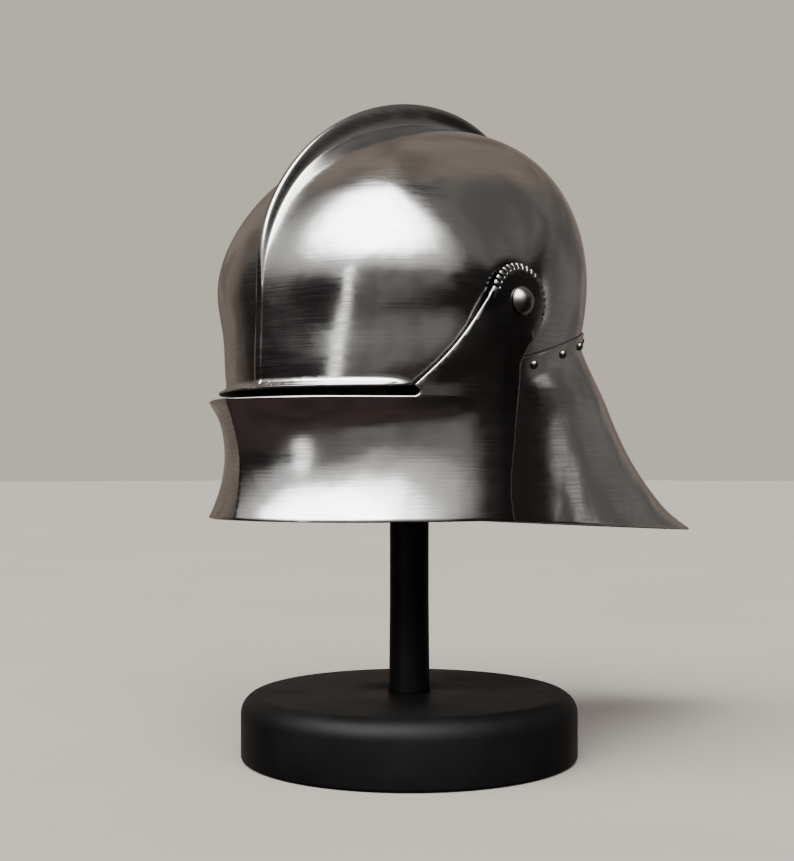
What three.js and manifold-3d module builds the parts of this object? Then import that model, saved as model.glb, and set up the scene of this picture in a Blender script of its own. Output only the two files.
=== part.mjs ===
// Visored sallet helmet on a turned stand. Millimetres, +Z up, the front of the helmet faces -Y.
// The origin is the centre of the stand's underside.
import * as THREE from 'three';
import { mergeVertices } from 'three/addons/utils/BufferGeometryUtils.js';
import Module from 'manifold-3d';

const wasm = await Module();
wasm.setup();

// Driving dimensions
const plate = 1.6;
const clearance = 0.3;
const curveRoom = 0.7;

const bowlHalfWidth = 111.8;
const napeReach = 135;
const bowlAxisHeight = 289;
const bowlAxisForward = 14.5;
const combHeight = 19;
const combHalfThickness = 2.7;
const combFootWidth = 8;

const browBelowAxis = 51;
const browHeight = bowlAxisHeight - browBelowAxis;
const browFlare = 5.5;
const browFlareHeight = 7;
const browHalfAngle = 50;
const browSink = 1.2;
const browFade = 12;
const browSideRun = 5;

const hingeBelowAxis = 0.5;
const hingeAheadOfAxis = 3;
const hingeHeight = bowlAxisHeight - hingeBelowAxis;
const hingeForward = bowlAxisForward + hingeAheadOfAxis;
const lobeRadius = 23;
const notchCount = 18;
const notchDepth = 4;
const notchWidth = 1.7;
const lobeFirstAngle = -45;
const lobeLastAngle = 165;
const notchFirstAngle = -25;

const rimBelowAxis = 130;
const rimHeight = bowlAxisHeight - rimBelowAxis;
const rimFlatBack = -40;
const rimFall = 0.05;
const visorWidthOverBowl = 1.2;
const visorHalfWidth = bowlHalfWidth + visorWidthOverBowl;
const keelReach = 148;
const visorStandOff = 3.4;
const keelFadeAngle = 60;
const keelFadePower = 1.6;
const visorBlendHeight = 30;
const visorBlendReach = 20;
const visorHalfAngle = 98;
const slitHeight = 7.5;
const slitEndBack = -80.6;

const tailWidthOverBowl = 0.7;
const tailHalfWidth = bowlHalfWidth + tailWidthOverBowl;
const tailReach = 277;
const tailSeamBelowAxis = 31.4;
const tailSeamHeight = bowlAxisHeight - tailSeamBelowAxis;
const tailSeamRise = 0.26;
const tailSeamBand = 9;
const tailLap = 15.83;
const tailFrontBack = -43;
const tailFrontReach = 104;
const tailBlendDrop = 0.35;

const pivotHeadRadius = 8.7;
const pivotHeadHeight = 6;
const pivotShankRadius = 3;
const washerRadius = 6;

const tailRivetRadius = 2.9;
const tailRivetHeight = 2.3;
const tailRivetShank = 1.3;
const tailRivetsPerSide = 5;
const tailRivetFirstAngle = 92;
const tailRivetDrop = 6;

const baseRadius = 111;
const baseHeight = 42.5;
const baseEdgeRadius = 13;
const postRadius = 13.4;
const postSocketDepth = 12;
const restRadius = 46;
const restThickness = 14;
const postTaperHeight = 60;

const drillLength = 30;

// Side profile of the bowl: reach from its axis at each angle above the front, in shares of napeReach
const bowlProfile = [
  { angle: -90, reach: 0.963, squareness: 1.95 },
  { angle: -60, reach: 0.995, squareness: 1.95 },
  { angle: -30, reach: 0.918, squareness: 1.95 },
  { angle: -10, reach: 0.822, squareness: 2.02 },
  { angle: 10, reach: 0.807, squareness: 2.35 },
  { angle: 30, reach: 0.809, squareness: 2.41 },
  { angle: 50, reach: 0.823, squareness: 2.21 },
  { angle: 75, reach: 0.848, squareness: 1.97 },
  { angle: 100, reach: 0.944, squareness: 1.94 },
  { angle: 125, reach: 1.078, squareness: 2.12 },
  { angle: 150, reach: 1.099, squareness: 2.17 },
  { angle: 180, reach: 1, squareness: 2.13 },
  { angle: 210, reach: 0.9185, squareness: 2.07 },
  { angle: 240, reach: 0.904, squareness: 2 },
];

// Height of the comb along the same angles, in shares of combHeight
const combProfile = [
  { angle: -40, height: 0.14 },
  { angle: -8, height: 0.1 },
  { angle: 5, height: 0.08 },
  { angle: 14, height: 0.2 },
  { angle: 28, height: 0.42 },
  { angle: 47, height: 0.58 },
  { angle: 69, height: 0.85 },
  { angle: 90, height: 1 },
  { angle: 112, height: 0.91 },
  { angle: 138, height: 0.57 },
  { angle: 160, height: 0.22 },
  { angle: 176, height: 0 },
];

// Visor sections from the rim up: rise in shares of the way to the slit, reaches in shares of keelReach
const visorSections = [
  { rise: -0.07, half: 1.025, face: 0.953, keel: 0.969 },
  { rise: 0.1, half: 1.017, face: 0.865, keel: 0.948 },
  { rise: 0.29, half: 1.009, face: 0.8, keel: 0.936 },
  { rise: 0.52, half: 1.003, face: 0.764, keel: 0.934 },
  { rise: 0.74, half: 1, face: 0.76, keel: 0.957 },
  { rise: 0.88, half: 1, face: 0.79, keel: 0.979 },
  { rise: 1, half: 1.001, face: 0.857, keel: 1 },
  { rise: 1.45, half: 1.01, face: 0.87, keel: 1 },
  { rise: 2.3, half: 1.02, face: 0.87, keel: 1 },
];

// Tail sections from the seam down: drop in shares of the way to the rim
const tailSections = [
  { drop: 0, half: 0.938, reach: 0.412, squareness: 2.13 },
  { drop: 0.17, half: 0.947, reach: 0.491, squareness: 2.15 },
  { drop: 0.35, half: 0.956, reach: 0.552, squareness: 2.15 },
  { drop: 0.5, half: 0.964, reach: 0.614, squareness: 2.1 },
  { drop: 0.68, half: 0.978, reach: 0.706, squareness: 2.05 },
  { drop: 0.82, half: 0.989, reach: 0.807, squareness: 1.98 },
  { drop: 0.92, half: 0.996, reach: 0.899, squareness: 1.93 },
  { drop: 1, half: 1, reach: 1, squareness: 1.9 },
];

// Rear edge of the visor from the rim to the lobe: rise in shares of the hinge's height over the rim,
// back from the hinge in shares of lobeRadius
const visorRearEdge = [
  { rise: 0.1, back: -0.2 },
  { rise: 0.2, back: -0.17 },
  { rise: 0.33, back: -0.06 },
  { rise: 0.5, back: 0.04 },
  { rise: 0.66, back: 0.11 },
  { rise: 0.745, back: 0.18 },
  { rise: 0.805, back: 0.42 },
];

const radians = THREE.MathUtils.degToRad;
const wallGap = clearance + plate;

// Cubic spline through a table's knots; with a period it closes on itself
function spline(xs, ys, period = 0) {
  const n = xs.length;
  const step = (i) => (i === n - 1 ? xs[0] + period - xs[n - 1] : xs[i + 1] - xs[i]);
  const slope = (i) => (ys[(i + 1) % n] - ys[i]) / step(i);
  const rows = xs.map(() => new Array(n + 1).fill(0));
  for (let i = 0; i < n; i += 1) {
    if (!period && (i === 0 || i === n - 1)) {
      rows[i][i] = 1;
      continue;
    }
    const before = (i + n - 1) % n;
    rows[i][before] += step(before);
    rows[i][i] += 2 * (step(before) + step(i));
    rows[i][(i + 1) % n] += step(i);
    rows[i][n] = 6 * (slope(i) - slope(before));
  }
  for (let i = 0; i < n; i += 1) {
    for (let k = 0; k < n; k += 1) {
      if (k === i) continue;
      const share = rows[k][i] / rows[i][i];
      for (let j = i; j <= n; j += 1) rows[k][j] -= share * rows[i][j];
    }
  }
  const bends = rows.map((row, i) => row[n] / row[i]);
  return (x) => {
    let at = x;
    if (period) at = xs[0] + ((((x - xs[0]) % period) + period) % period);
    let i = 0;
    while (i < (period ? n - 1 : n - 2) && at >= xs[i + 1]) i += 1;
    const width = step(i);
    const t = (at - xs[i]) / width;
    const s = 1 - t;
    const next = (i + 1) % n;
    const bend = ((s ** 3 - s) * bends[i] + (t ** 3 - t) * bends[next]) * (width * width / 6);
    return s * ys[i] + t * ys[next] + bend;
  };
}

const column = (table, name) => table.map((row) => row[name]);
const clamp = THREE.MathUtils.clamp;

const bowlReachAt = spline(column(bowlProfile, 'angle'), column(bowlProfile, 'reach'), 360);
const bowlSquareAt = spline(column(bowlProfile, 'angle'), column(bowlProfile, 'squareness'), 360);
const combAt = spline(column(combProfile, 'angle'), column(combProfile, 'height'));

// Height of the comb at an angle in degrees and a distance from the middle plane
function combRise(angle, x) {
  const last = combProfile.at(-1).angle;
  const turned = angle > 270 ? angle - 360 : angle;
  if (turned < combProfile[0].angle || turned > last) return 0;
  const edge = 0.62 / (1 + (Math.abs(x) / combHalfThickness) ** 6);
  const foot = 0.38 * Math.exp(-((x / combFootWidth) ** 2));
  return combHeight * Math.max(0, combAt(turned)) * (edge + foot);
}

// A point of the bowl: angle in degrees in the plane through the side axis, x from side to side
function bowlPoint(angle, x) {
  const square = bowlSquareAt(angle);
  const share = Math.min(1, Math.abs(x) / bowlHalfWidth);
  const radius = napeReach * bowlReachAt(angle) * (1 - share ** square) ** (1 / square);
  const reach = radius + combRise(angle, x);
  const a = radians(angle);
  return new THREE.Vector3(x, -bowlAxisForward - reach * Math.cos(a), bowlAxisHeight + reach * Math.sin(a));
}

// Over 1 outside the plain bowl, under 1 inside it
function bowlLevel(x, y, z) {
  const dy = y + bowlAxisForward;
  const dz = z - bowlAxisHeight;
  const angle = THREE.MathUtils.radToDeg(Math.atan2(dz, -dy));
  const square = bowlSquareAt(angle);
  const radius = napeReach * bowlReachAt(angle);
  return (Math.abs(x) / bowlHalfWidth) ** square + (Math.hypot(dy, dz) / radius) ** square;
}

// The largest step along a direction that stays inside the bowl
function bowlDistance(pointAt) {
  let low = 0;
  let high = 2 * napeReach;
  for (let k = 0; k < 40; k += 1) {
    const middle = (low + high) / 2;
    if (bowlLevel(...pointAt(middle)) < 1) low = middle;
    else high = middle;
  }
  return low;
}

// Lower edge of the bowl behind the brow, in side view: it runs under the tail's upper edge
const lapEdge = (y) => tailSeamHeight + tailSeamRise * y - tailLap;
const bowlFloor = Math.min(browHeight, lapEdge(-bowlAxisForward));

// Reach of the bowl from the vertical axis, at a turn from the front and a height
function bowlReach(turn, z) {
  const held = Math.max(z, bowlFloor);
  return bowlDistance((r) => [r * Math.sin(turn), -r * Math.cos(turn), held]);
}

// Reach of a rounded plan outline with half-width half and length reach
function planReach(turn, half, reach, square) {
  const side = Math.abs(Math.sin(turn)) / half;
  const end = Math.abs(Math.cos(turn)) / reach;
  return (side ** square + end ** square) ** (-1 / square);
}

function rimAt(y) {
  return rimHeight - rimFall * Math.max(0, y - rimFlatBack);
}

const slitBottom = browHeight - slitHeight;
const visorHalfAt = spline(column(visorSections, 'rise'), column(visorSections, 'half'));
const visorFaceAt = spline(column(visorSections, 'rise'), column(visorSections, 'face'));
const visorKeelAt = spline(column(visorSections, 'rise'), column(visorSections, 'keel'));

// The visor's reach: a rounded plan, a keel that fades to the sides, and always clear of the bowl
function visorReach(turn, z) {
  const rise = (z - rimHeight) / (slitBottom - rimHeight);
  const face = keelReach * visorFaceAt(rise);
  const keel = keelReach * visorKeelAt(rise);
  const plan = planReach(turn, visorHalfWidth * visorHalfAt(rise), face, 2);
  const fold = Math.max(0, 1 - Math.abs(turn) / radians(keelFadeAngle)) ** keelFadePower;
  const own = plan + (keel - face) * fold;
  const kept = bowlReach(turn, z) + visorStandOff + plate;
  const fade = clamp((z - slitBottom) / visorBlendHeight + 1, 0, 1);
  const near = kept - (1 - fade) * visorBlendReach;
  return (own + near + Math.sqrt((own - near) ** 2 + 2)) / 2;
}

// Height of the tail's upper edge round the bowl
function seamAt(turn) {
  return tailSeamHeight - tailSeamRise * Math.cos(turn) * bowlReach(turn, tailSeamHeight + 12);
}

const tailHalfAt = spline(column(tailSections, 'drop'), column(tailSections, 'half'));
const tailReachAt = spline(column(tailSections, 'drop'), column(tailSections, 'reach'));
const tailSquareAt = spline(column(tailSections, 'drop'), column(tailSections, 'squareness'));

function tailPlan(turn, drop) {
  const half = tailHalfWidth * tailHalfAt(drop);
  if (Math.cos(turn) > 0) return planReach(turn, half, tailFrontReach, 2);
  return planReach(turn, half, tailReach * tailReachAt(drop), tailSquareAt(drop));
}

function tailRim(turn) {
  return rimAt(-Math.cos(turn) * tailPlan(turn, 1));
}

// The tail lies on the bowl along its seam band and flares from there to the rim
function tailSurface(turn, z) {
  const start = seamAt(turn) - tailSeamBand;
  const drop = (start - z) / (start - tailRim(turn));
  const onBowl = bowlReach(turn, z) + wallGap;
  if (drop < 0) return onBowl;
  const fade = Math.max(0, 1 - drop / tailBlendDrop) ** 2;
  return tailPlan(turn, Math.min(drop, 1.06)) + (onBowl - tailPlan(turn, 0)) * fade;
}

// The brow flange turns out of the bowl in front and dies out at the visor's sides
function browReach(turn, z) {
  const share = clamp((browHeight + browFlareHeight - z) / browFlareHeight, 0, 1);
  const fade = clamp((radians(browHalfAngle) - Math.abs(turn)) / radians(browFade), 0, 1);
  return bowlReach(turn, z) - browSink + (browFlare + browSink) * share ** 1.5 * fade;
}

// A closed solid from a geometry whose vertices are merged and whose empty triangles are dropped
function solidOf(geometry) {
  const bare = geometry.clone();
  bare.deleteAttribute('normal');
  bare.deleteAttribute('uv');
  const merged = mergeVertices(bare, 1e-4);
  const index = merged.index.array;
  const kept = [];
  for (let i = 0; i < index.length; i += 3) {
    const [a, b, c] = [index[i], index[i + 1], index[i + 2]];
    if (a !== b && b !== c && c !== a) kept.push(a, b, c);
  }
  const vertProperties = new Float32Array(merged.attributes.position.array);
  const mesh = new wasm.Mesh({ numProp: 3, vertProperties, triVerts: new Uint32Array(kept) });
  return new wasm.Manifold(mesh);
}

function geometryOf(solid) {
  const mesh = solid.getMesh();
  const geometry = new THREE.BufferGeometry();
  const places = new Float32Array((mesh.vertProperties.length / mesh.numProp) * 3);
  for (let i = 0; i < places.length / 3; i += 1) {
    for (let k = 0; k < 3; k += 1) places[3 * i + k] = mesh.vertProperties[mesh.numProp * i + k];
  }
  geometry.setAttribute('position', new THREE.BufferAttribute(places, 3));
  geometry.setIndex(new THREE.BufferAttribute(new Uint32Array(mesh.triVerts), 1));
  geometry.computeVertexNormals();
  return geometry;
}

function geometryFrom(points, triangles) {
  const geometry = new THREE.BufferGeometry();
  geometry.setAttribute('position', new THREE.Float32BufferAttribute(points.flatMap((p) => p.toArray()), 3));
  geometry.setIndex(triangles);
  return geometry;
}

// An even row of values
function row(from, to, count) {
  return Array.from({ length: count + 1 }, (_, i) => from + ((to - from) * i) / count);
}

// A curved sheet: an outer grid over turns and heights, an inner one a wall inside it, and edges
function sheetGeometry(reachAt, turns, heightsAt, wall) {
  const place = (turn, z) => {
    const reach = reachAt(turn, z);
    return new THREE.Vector3(reach * Math.sin(turn), -reach * Math.cos(turn), z);
  };
  const small = 0.01;
  const outer = [];
  const inner = [];
  const columns = turns.length;
  const rows = heightsAt(turns[0]).length;
  for (const turn of turns) {
    for (const z of heightsAt(turn)) {
      const along = place(turn + small, z).sub(place(turn - small, z));
      const up = place(turn, z + 0.5).sub(place(turn, z - 0.5));
      const point = place(turn, z);
      outer.push(point);
      inner.push(point.clone().addScaledVector(along.cross(up).normalize(), -wall));
    }
  }
  const points = [...outer, ...inner];
  const triangles = [];
  const quad = (a, b, c, d) => triangles.push(a, b, c, a, c, d);
  const at = (i, j) => i * rows + j;
  const half = outer.length;
  for (let i = 0; i < columns - 1; i += 1) {
    for (let j = 0; j < rows - 1; j += 1) {
      quad(at(i, j), at(i + 1, j), at(i + 1, j + 1), at(i, j + 1));
      quad(half + at(i, j), half + at(i, j + 1), half + at(i + 1, j + 1), half + at(i + 1, j));
    }
    quad(at(i, 0), half + at(i, 0), half + at(i + 1, 0), at(i + 1, 0));
    quad(at(i, rows - 1), at(i + 1, rows - 1), half + at(i + 1, rows - 1), half + at(i, rows - 1));
  }
  for (let j = 0; j < rows - 1; j += 1) {
    quad(at(0, j), at(0, j + 1), half + at(0, j + 1), half + at(0, j));
    const last = columns - 1;
    quad(at(last, j), half + at(last, j), half + at(last, j + 1), at(last, j + 1));
  }
  return geometryFrom(points, triangles);
}

// The bowl's whole egg, drawn a wall inside its outer face
function eggGeometry(angles, places, wall) {
  const points = [];
  const columns = places.length;
  for (const angle of angles) {
    for (const x of places) {
      const point = bowlPoint(angle, x);
      if (wall > 0) {
        const around = bowlPoint(angle + 0.5, x).sub(bowlPoint(angle - 0.5, x));
        const low = Math.max(x - 0.05, -bowlHalfWidth);
        const high = Math.min(x + 0.05, bowlHalfWidth);
        const across = bowlPoint(angle, high).sub(bowlPoint(angle, low));
        const normal = across.cross(around).normalize();
        if (Math.abs(x) >= bowlHalfWidth) normal.set(Math.sign(x), 0, 0);
        point.addScaledVector(normal, -wall);
      }
      points.push(point);
    }
  }
  const triangles = [];
  for (let i = 0; i < angles.length; i += 1) {
    const next = (i + 1) % angles.length;
    for (let j = 0; j < columns - 1; j += 1) {
      const [a, b] = [i * columns + j, i * columns + j + 1];
      const [c, d] = [next * columns + j + 1, next * columns + j];
      triangles.push(a, b, c, a, c, d);
    }
  }
  return geometryFrom(points, triangles);
}

// A side-view outline drawn in (y, z), made into a block across the whole width
function sideBlock(shape, segments = 10) {
  const width = 4 * bowlHalfWidth;
  const options = { depth: width, bevelEnabled: false, curveSegments: segments };
  const block = new THREE.ExtrudeGeometry(shape, options);
  block.translate(0, 0, -width / 2);
  const toSide = new THREE.Matrix4().makeBasis(
    new THREE.Vector3(0, 1, 0),
    new THREE.Vector3(0, 0, 1),
    new THREE.Vector3(1, 0, 0),
  );
  return solidOf(block.applyMatrix4(toSide));
}

function outline(points) {
  return new THREE.Shape(points.map(([y, z]) => new THREE.Vector2(y, z)));
}

// A turned body along +Y from (radius, height) points, first point lowest
function turned(points, segments) {
  return solidOf(new THREE.LatheGeometry(points.map(([r, h]) => new THREE.Vector2(r, h)), segments));
}

function arcPoints(radius, centreR, centreH, from, to, count) {
  return row(radians(from), radians(to), count).map((a) => [
    centreR + radius * Math.cos(a),
    centreH + radius * Math.sin(a),
  ]);
}

function drill(radius, length, position, direction) {
  const rod = new THREE.CylinderGeometry(radius, radius, length, 8);
  const turn = new THREE.Quaternion().setFromUnitVectors(new THREE.Vector3(0, 1, 0), direction);
  rod.applyQuaternion(turn).translate(position.x, position.y, position.z);
  return solidOf(rod);
}

const steel = (tone) => new THREE.MeshStandardMaterial({ color: tone, metalness: 1, roughness: 0.28 });
const blackWood = new THREE.MeshStandardMaterial({ color: 0x0b0b0b, metalness: 0, roughness: 0.45 });

function piece(name, solid, material) {
  const mesh = new THREE.Mesh(geometryOf(solid), material);
  mesh.name = name;
  return mesh;
}

// Rivet places: the two pivots and the row along the tail's seam
const hingeTurn = Math.atan2(bowlHalfWidth, hingeForward);
const hingePoint = (side, x) => new THREE.Vector3(side * x, -hingeForward, hingeHeight);
const bowlAtHinge = bowlDistance((x) => [x, -hingeForward, hingeHeight]);

// How far out the visor stands at a point of the side view
function visorSide(y, z) {
  let low = hingeTurn / 2;
  let high = radians(visorHalfAngle);
  for (let k = 0; k < 40; k += 1) {
    const middle = (low + high) / 2;
    if (-visorReach(middle, z) * Math.cos(middle) < y) low = middle;
    else high = middle;
  }
  return visorReach(low, z) * Math.sin(low);
}

// The visor's reach all round the pivot, under a ring of that radius
function visorRing(radius) {
  return row(0, 2 * Math.PI, 12).map((turn) =>
    visorSide(radius * Math.cos(turn) - hingeForward, radius * Math.sin(turn) + hingeHeight),
  );
}
const visorAtHinge = visorSide(-hingeForward, hingeHeight);
const headSeat = Math.max(visorAtHinge, ...visorRing(pivotHeadRadius));
const washerCeiling = Math.min(visorAtHinge, ...visorRing(washerRadius)) - plate;

function tailRivetPlaces() {
  const places = [];
  const step = (180 - tailRivetFirstAngle) / tailRivetsPerSide;
  for (const side of [1, -1]) {
    for (let k = 0; k < tailRivetsPerSide; k += 1) {
      const name = `${side > 0 ? 'left' : 'right'}_${k + 1}`;
      places.push({ name, turn: side * radians(tailRivetFirstAngle + k * step) });
    }
  }
  places.push({ name: 'nape', turn: Math.PI });
  return places.map(({ name, turn }) => {
    const z = seamAt(turn) - tailRivetDrop;
    const spot = (t, h) => {
      const reach = bowlReach(t, h) + wallGap;
      return new THREE.Vector3(reach * Math.sin(t), -reach * Math.cos(t), h);
    };
    const along = spot(turn + 0.02, z).sub(spot(turn - 0.02, z));
    const up = spot(turn, z + 1).sub(spot(turn, z - 1));
    return { name, position: spot(turn, z), direction: along.cross(up).normalize() };
  });
}
const tailRivets = tailRivetPlaces();

// Places across the bowl: close together over the comb, then evenly turned to each side's pole
function acrossPlaces(combShares) {
  const comb = combShares.map((share) => share * combHalfThickness);
  const sides = row(Math.asin(comb.at(-1) / bowlHalfWidth), Math.PI / 2, 7).slice(1);
  const half = [...comb, ...sides.map((a) => bowlHalfWidth * Math.sin(a))];
  return [...half.slice(1).map((x) => -x).reverse(), ...half];
}

function skullSolid() {
  const angles = row(-90, 270, 40).slice(0, -1);
  const outer = solidOf(eggGeometry(angles, acrossPlaces([0, 0.6, 1, 1.4, 2.6, 5.5]), 0));
  const inner = solidOf(eggGeometry(angles, acrossPlaces([0, 1.4, 5.5]), plate));
  let skull = outer.subtract(inner);
  const far = 3 * napeReach;
  const flareEnd = -bowlHalfWidth * Math.cos(radians(browHalfAngle));
  const under = outline([
    [-far, -far],
    [far, -far],
    [far, lapEdge(far)],
    [-bowlAxisForward, lapEdge(-bowlAxisForward)],
    [-bowlAxisForward - browSideRun, browHeight],
    [flareEnd, browHeight],
    [flareEnd - plate, browHeight + browFlareHeight - plate],
    [-far, browHeight + browFlareHeight - plate],
  ]);
  skull = skull.subtract(sideBlock(under));
  const turns = row(-radians(browHalfAngle), radians(browHalfAngle), 20);
  const heights = row(browHeight, browHeight + browFlareHeight + 2, 4);
  skull = skull.add(solidOf(sheetGeometry(browReach, turns, () => heights, plate - clearance)));
  const hole = pivotShankRadius + clearance;
  for (const side of [1, -1]) {
    const across = new THREE.Vector3(side, 0, 0);
    skull = skull.subtract(drill(hole, drillLength, hingePoint(side, bowlAtHinge), across));
  }
  for (const { position, direction } of tailRivets) {
    skull = skull.subtract(drill(tailRivetShank + clearance, 16, position, direction));
  }
  return skull;
}

function lobePoints() {
  const points = [];
  const pitch = (lobeLastAngle - notchFirstAngle) / notchCount;
  const at = (degrees, radius) => [
    -hingeForward + radius * Math.cos(radians(degrees)),
    hingeHeight + radius * Math.sin(radians(degrees)),
  ];
  points.push(at(lobeFirstAngle, lobeRadius));
  const halfMouth = THREE.MathUtils.radToDeg(notchWidth / 2 / lobeRadius);
  const halfFloor = THREE.MathUtils.radToDeg(notchWidth / 2 / (lobeRadius - notchDepth));
  for (let k = 0; k < notchCount; k += 1) {
    const middle = notchFirstAngle + (k + 0.5) * pitch;
    points.push(at(middle - halfMouth, lobeRadius));
    points.push(at(middle - halfFloor, lobeRadius - notchDepth));
    points.push(at(middle + halfFloor, lobeRadius - notchDepth));
    points.push(at(middle + halfMouth, lobeRadius));
  }
  points.push(at(lobeLastAngle, lobeRadius));
  return points;
}

function visorOutline() {
  const far = 2 * keelReach;
  const rise = hingeHeight - rimHeight;
  const shape = new THREE.Shape();
  shape.moveTo(-far, rimHeight);
  shape.lineTo(rimFlatBack, rimHeight);
  const rearFoot = -hingeForward - 0.15 * lobeRadius;
  shape.lineTo(rearFoot, rimAt(rearFoot));
  const lobe = lobePoints();
  const rear = visorRearEdge.map(
    (r) => new THREE.Vector2(-hingeForward + r.back * lobeRadius, rimHeight + r.rise * rise),
  );
  shape.splineThru([...rear, new THREE.Vector2(...lobe[0])]);
  for (const point of lobe.slice(1)) shape.lineTo(...point);
  const [lobeY, lobeZ] = lobe.at(-1);
  const endRadius = (browHeight - slitBottom - 1) / 2;
  const [endY, endZ] = [slitEndBack, slitBottom + endRadius];
  const run = lobeY - endY;
  const climb = lobeZ - (endZ + endRadius);
  shape.quadraticCurveTo(endY + 0.55 * run, endZ + endRadius + 0.42 * climb, endY, endZ + endRadius);
  shape.absarc(endY, endZ, endRadius, Math.PI / 2, -Math.PI / 2, true);
  shape.lineTo(-far, slitBottom);
  return shape;
}

function visorSolid() {
  const turns = row(-radians(visorHalfAngle), radians(visorHalfAngle), 32);
  const low = rimHeight - 6;
  const lowRows = row(low, slitBottom + 6, 7);
  const highRows = row(slitBottom + 6, hingeHeight + lobeRadius + 3, 4).slice(1);
  const heights = [...lowRows, ...highRows];
  let visor = solidOf(sheetGeometry(visorReach, turns, () => heights, plate));
  visor = visor.intersect(sideBlock(visorOutline(), 4));
  const hole = pivotShankRadius + 1.5 * clearance;
  for (const side of [1, -1]) {
    const across = new THREE.Vector3(side, 0, 0);
    visor = visor.subtract(drill(hole, drillLength, hingePoint(side, visorAtHinge), across));
  }
  return visor;
}

// Rows of the tail's faces, in shares of the way from the seam band to the rim
const tailRowDrops = [1, 0.88, 0.68, 0.46, 0.26, 0.1, 0];

function tailSolid() {
  const turns = row(-1, 1, 36).map((t) => Math.PI + Math.sign(t) * Math.abs(t) ** 1.25 * radians(118));
  const heightsAt = (turn) => {
    const start = seamAt(turn) - tailSeamBand;
    const fall = start - tailRim(turn);
    return [...tailRowDrops.map((drop) => start - drop * fall), seamAt(turn)];
  };
  const far = 3 * napeReach;
  const block = outline([
    [tailFrontBack, -far],
    [far, -far],
    [far, far],
    [tailFrontBack, far],
  ]);
  let tail = solidOf(sheetGeometry(tailSurface, turns, heightsAt, plate)).intersect(sideBlock(block));
  for (const { position, direction } of tailRivets) {
    tail = tail.subtract(drill(tailRivetShank + clearance, 10, position, direction));
  }
  return tail;
}

// A pivot rivet along +Y from the bowl's inner face: peened end, shank and domed head
function pivotRivetSolid() {
  const inside = -(plate + 2 * curveRoom);
  const outside = headSeat - bowlAtHinge + clearance;
  const headBall = (pivotHeadRadius ** 2 + pivotHeadHeight ** 2) / (2 * pivotHeadHeight);
  const edge = THREE.MathUtils.radToDeg(Math.asin((headBall - pivotHeadHeight) / headBall));
  return turned(
    [
      [0, inside - 2],
      [pivotShankRadius + 2, inside - 2],
      [pivotShankRadius + 3, inside - 1],
      [pivotShankRadius + 3, inside],
      [pivotShankRadius, inside],
      [pivotShankRadius, outside],
      ...arcPoints(headBall, 0, outside + pivotHeadHeight - headBall, edge, 90, 4),
    ],
    16,
  );
}

function washerSolid() {
  const low = clearance;
  const high = washerCeiling - bowlAtHinge - clearance;
  const hole = pivotShankRadius + clearance;
  return turned([[hole, low], [washerRadius, low], [washerRadius, high], [hole, high], [hole, low]], 12);
}

function tailRivetSolid() {
  const inside = -(plate + wallGap + curveRoom + clearance);
  return turned(
    [
      [0, inside - 0.8],
      [tailRivetShank + 0.9, inside - 0.8],
      [tailRivetShank + 0.9, inside],
      [tailRivetShank, inside],
      [tailRivetShank, clearance],
      [tailRivetRadius, clearance],
      [tailRivetRadius * 0.8, clearance + tailRivetHeight * 0.7],
      [0, clearance + tailRivetHeight],
    ],
    8,
  );
}

function baseSolid() {
  const socket = postRadius + clearance;
  return turned(
    [
      [0, 0],
      [baseRadius - 2, 0],
      [baseRadius, 2],
      ...arcPoints(baseEdgeRadius, baseRadius - baseEdgeRadius, baseHeight - baseEdgeRadius, 0, 90, 4),
      [socket, baseHeight],
      [socket, baseHeight - postSocketDepth],
      [0, baseHeight - postSocketDepth],
    ],
    26,
  );
}

// Height of the bowl's inner face over a ring about the post, lowest point of the ring
function ceilingAt(radius) {
  const heights = row(0, 2 * Math.PI, 24).map((turn) => {
    const [x, y] = [radius * Math.sin(turn), -radius * Math.cos(turn)];
    return bowlAxisHeight + bowlDistance((rise) => [x, y, bowlAxisHeight + rise]);
  });
  return Math.min(...heights) - 1.4 * plate - curveRoom - clearance;
}

// The post stands in the base's socket and ends in a domed rest under the crown
function postSolid() {
  const foot = baseHeight - postSocketDepth + clearance;
  const dome = row(restRadius, 0, 4).map((radius) => [radius, ceilingAt(radius)]);
  const edge = dome[0][1];
  return turned(
    [
      [0, foot],
      [postRadius, foot],
      [postRadius, baseHeight + clearance],
      [postRadius - 0.8, baseHeight + postTaperHeight],
      [postRadius - 0.8, edge - restThickness - 12],
      [postRadius + 6, edge - restThickness],
      [restRadius, edge - restThickness],
      ...dome,
    ],
    20,
  );
}

function place(mesh, position, direction) {
  mesh.position.copy(position);
  mesh.quaternion.setFromUnitVectors(new THREE.Vector3(0, 1, 0), direction);
  return mesh;
}

const [alongY, alongZ] = [new THREE.Vector3(0, 1, 0), new THREE.Vector3(0, 0, 1)];
const upright = new THREE.Quaternion().setFromUnitVectors(alongY, alongZ);

const stand = new THREE.Group();
const turnings = [piece('stand_base', baseSolid(), blackWood), piece('stand_post', postSolid(), blackWood)];
for (const mesh of turnings) {
  mesh.quaternion.copy(upright);
  stand.add(mesh);
}

const helmet = new THREE.Group();
helmet.add(piece('skull', skullSolid(), steel(0xb4b2ae)));
helmet.add(piece('tail_plate', tailSolid(), steel(0xa9a7a4)));
for (const [name, side] of [['left', 1], ['right', -1]]) {
  const across = new THREE.Vector3(side, 0, 0);
  const seat = hingePoint(side, bowlAtHinge);
  helmet.add(place(piece(`pivot_rivet_${name}`, pivotRivetSolid(), steel(0x8d8b88)), seat, across));
  helmet.add(place(piece(`pivot_washer_${name}`, washerSolid(), steel(0x8d8b88)), seat, across));
}
for (const { name, position, direction } of tailRivets) {
  helmet.add(place(piece(`tail_rivet_${name}`, tailRivetSolid(), steel(0x8d8b88)), position, direction));
}

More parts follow.
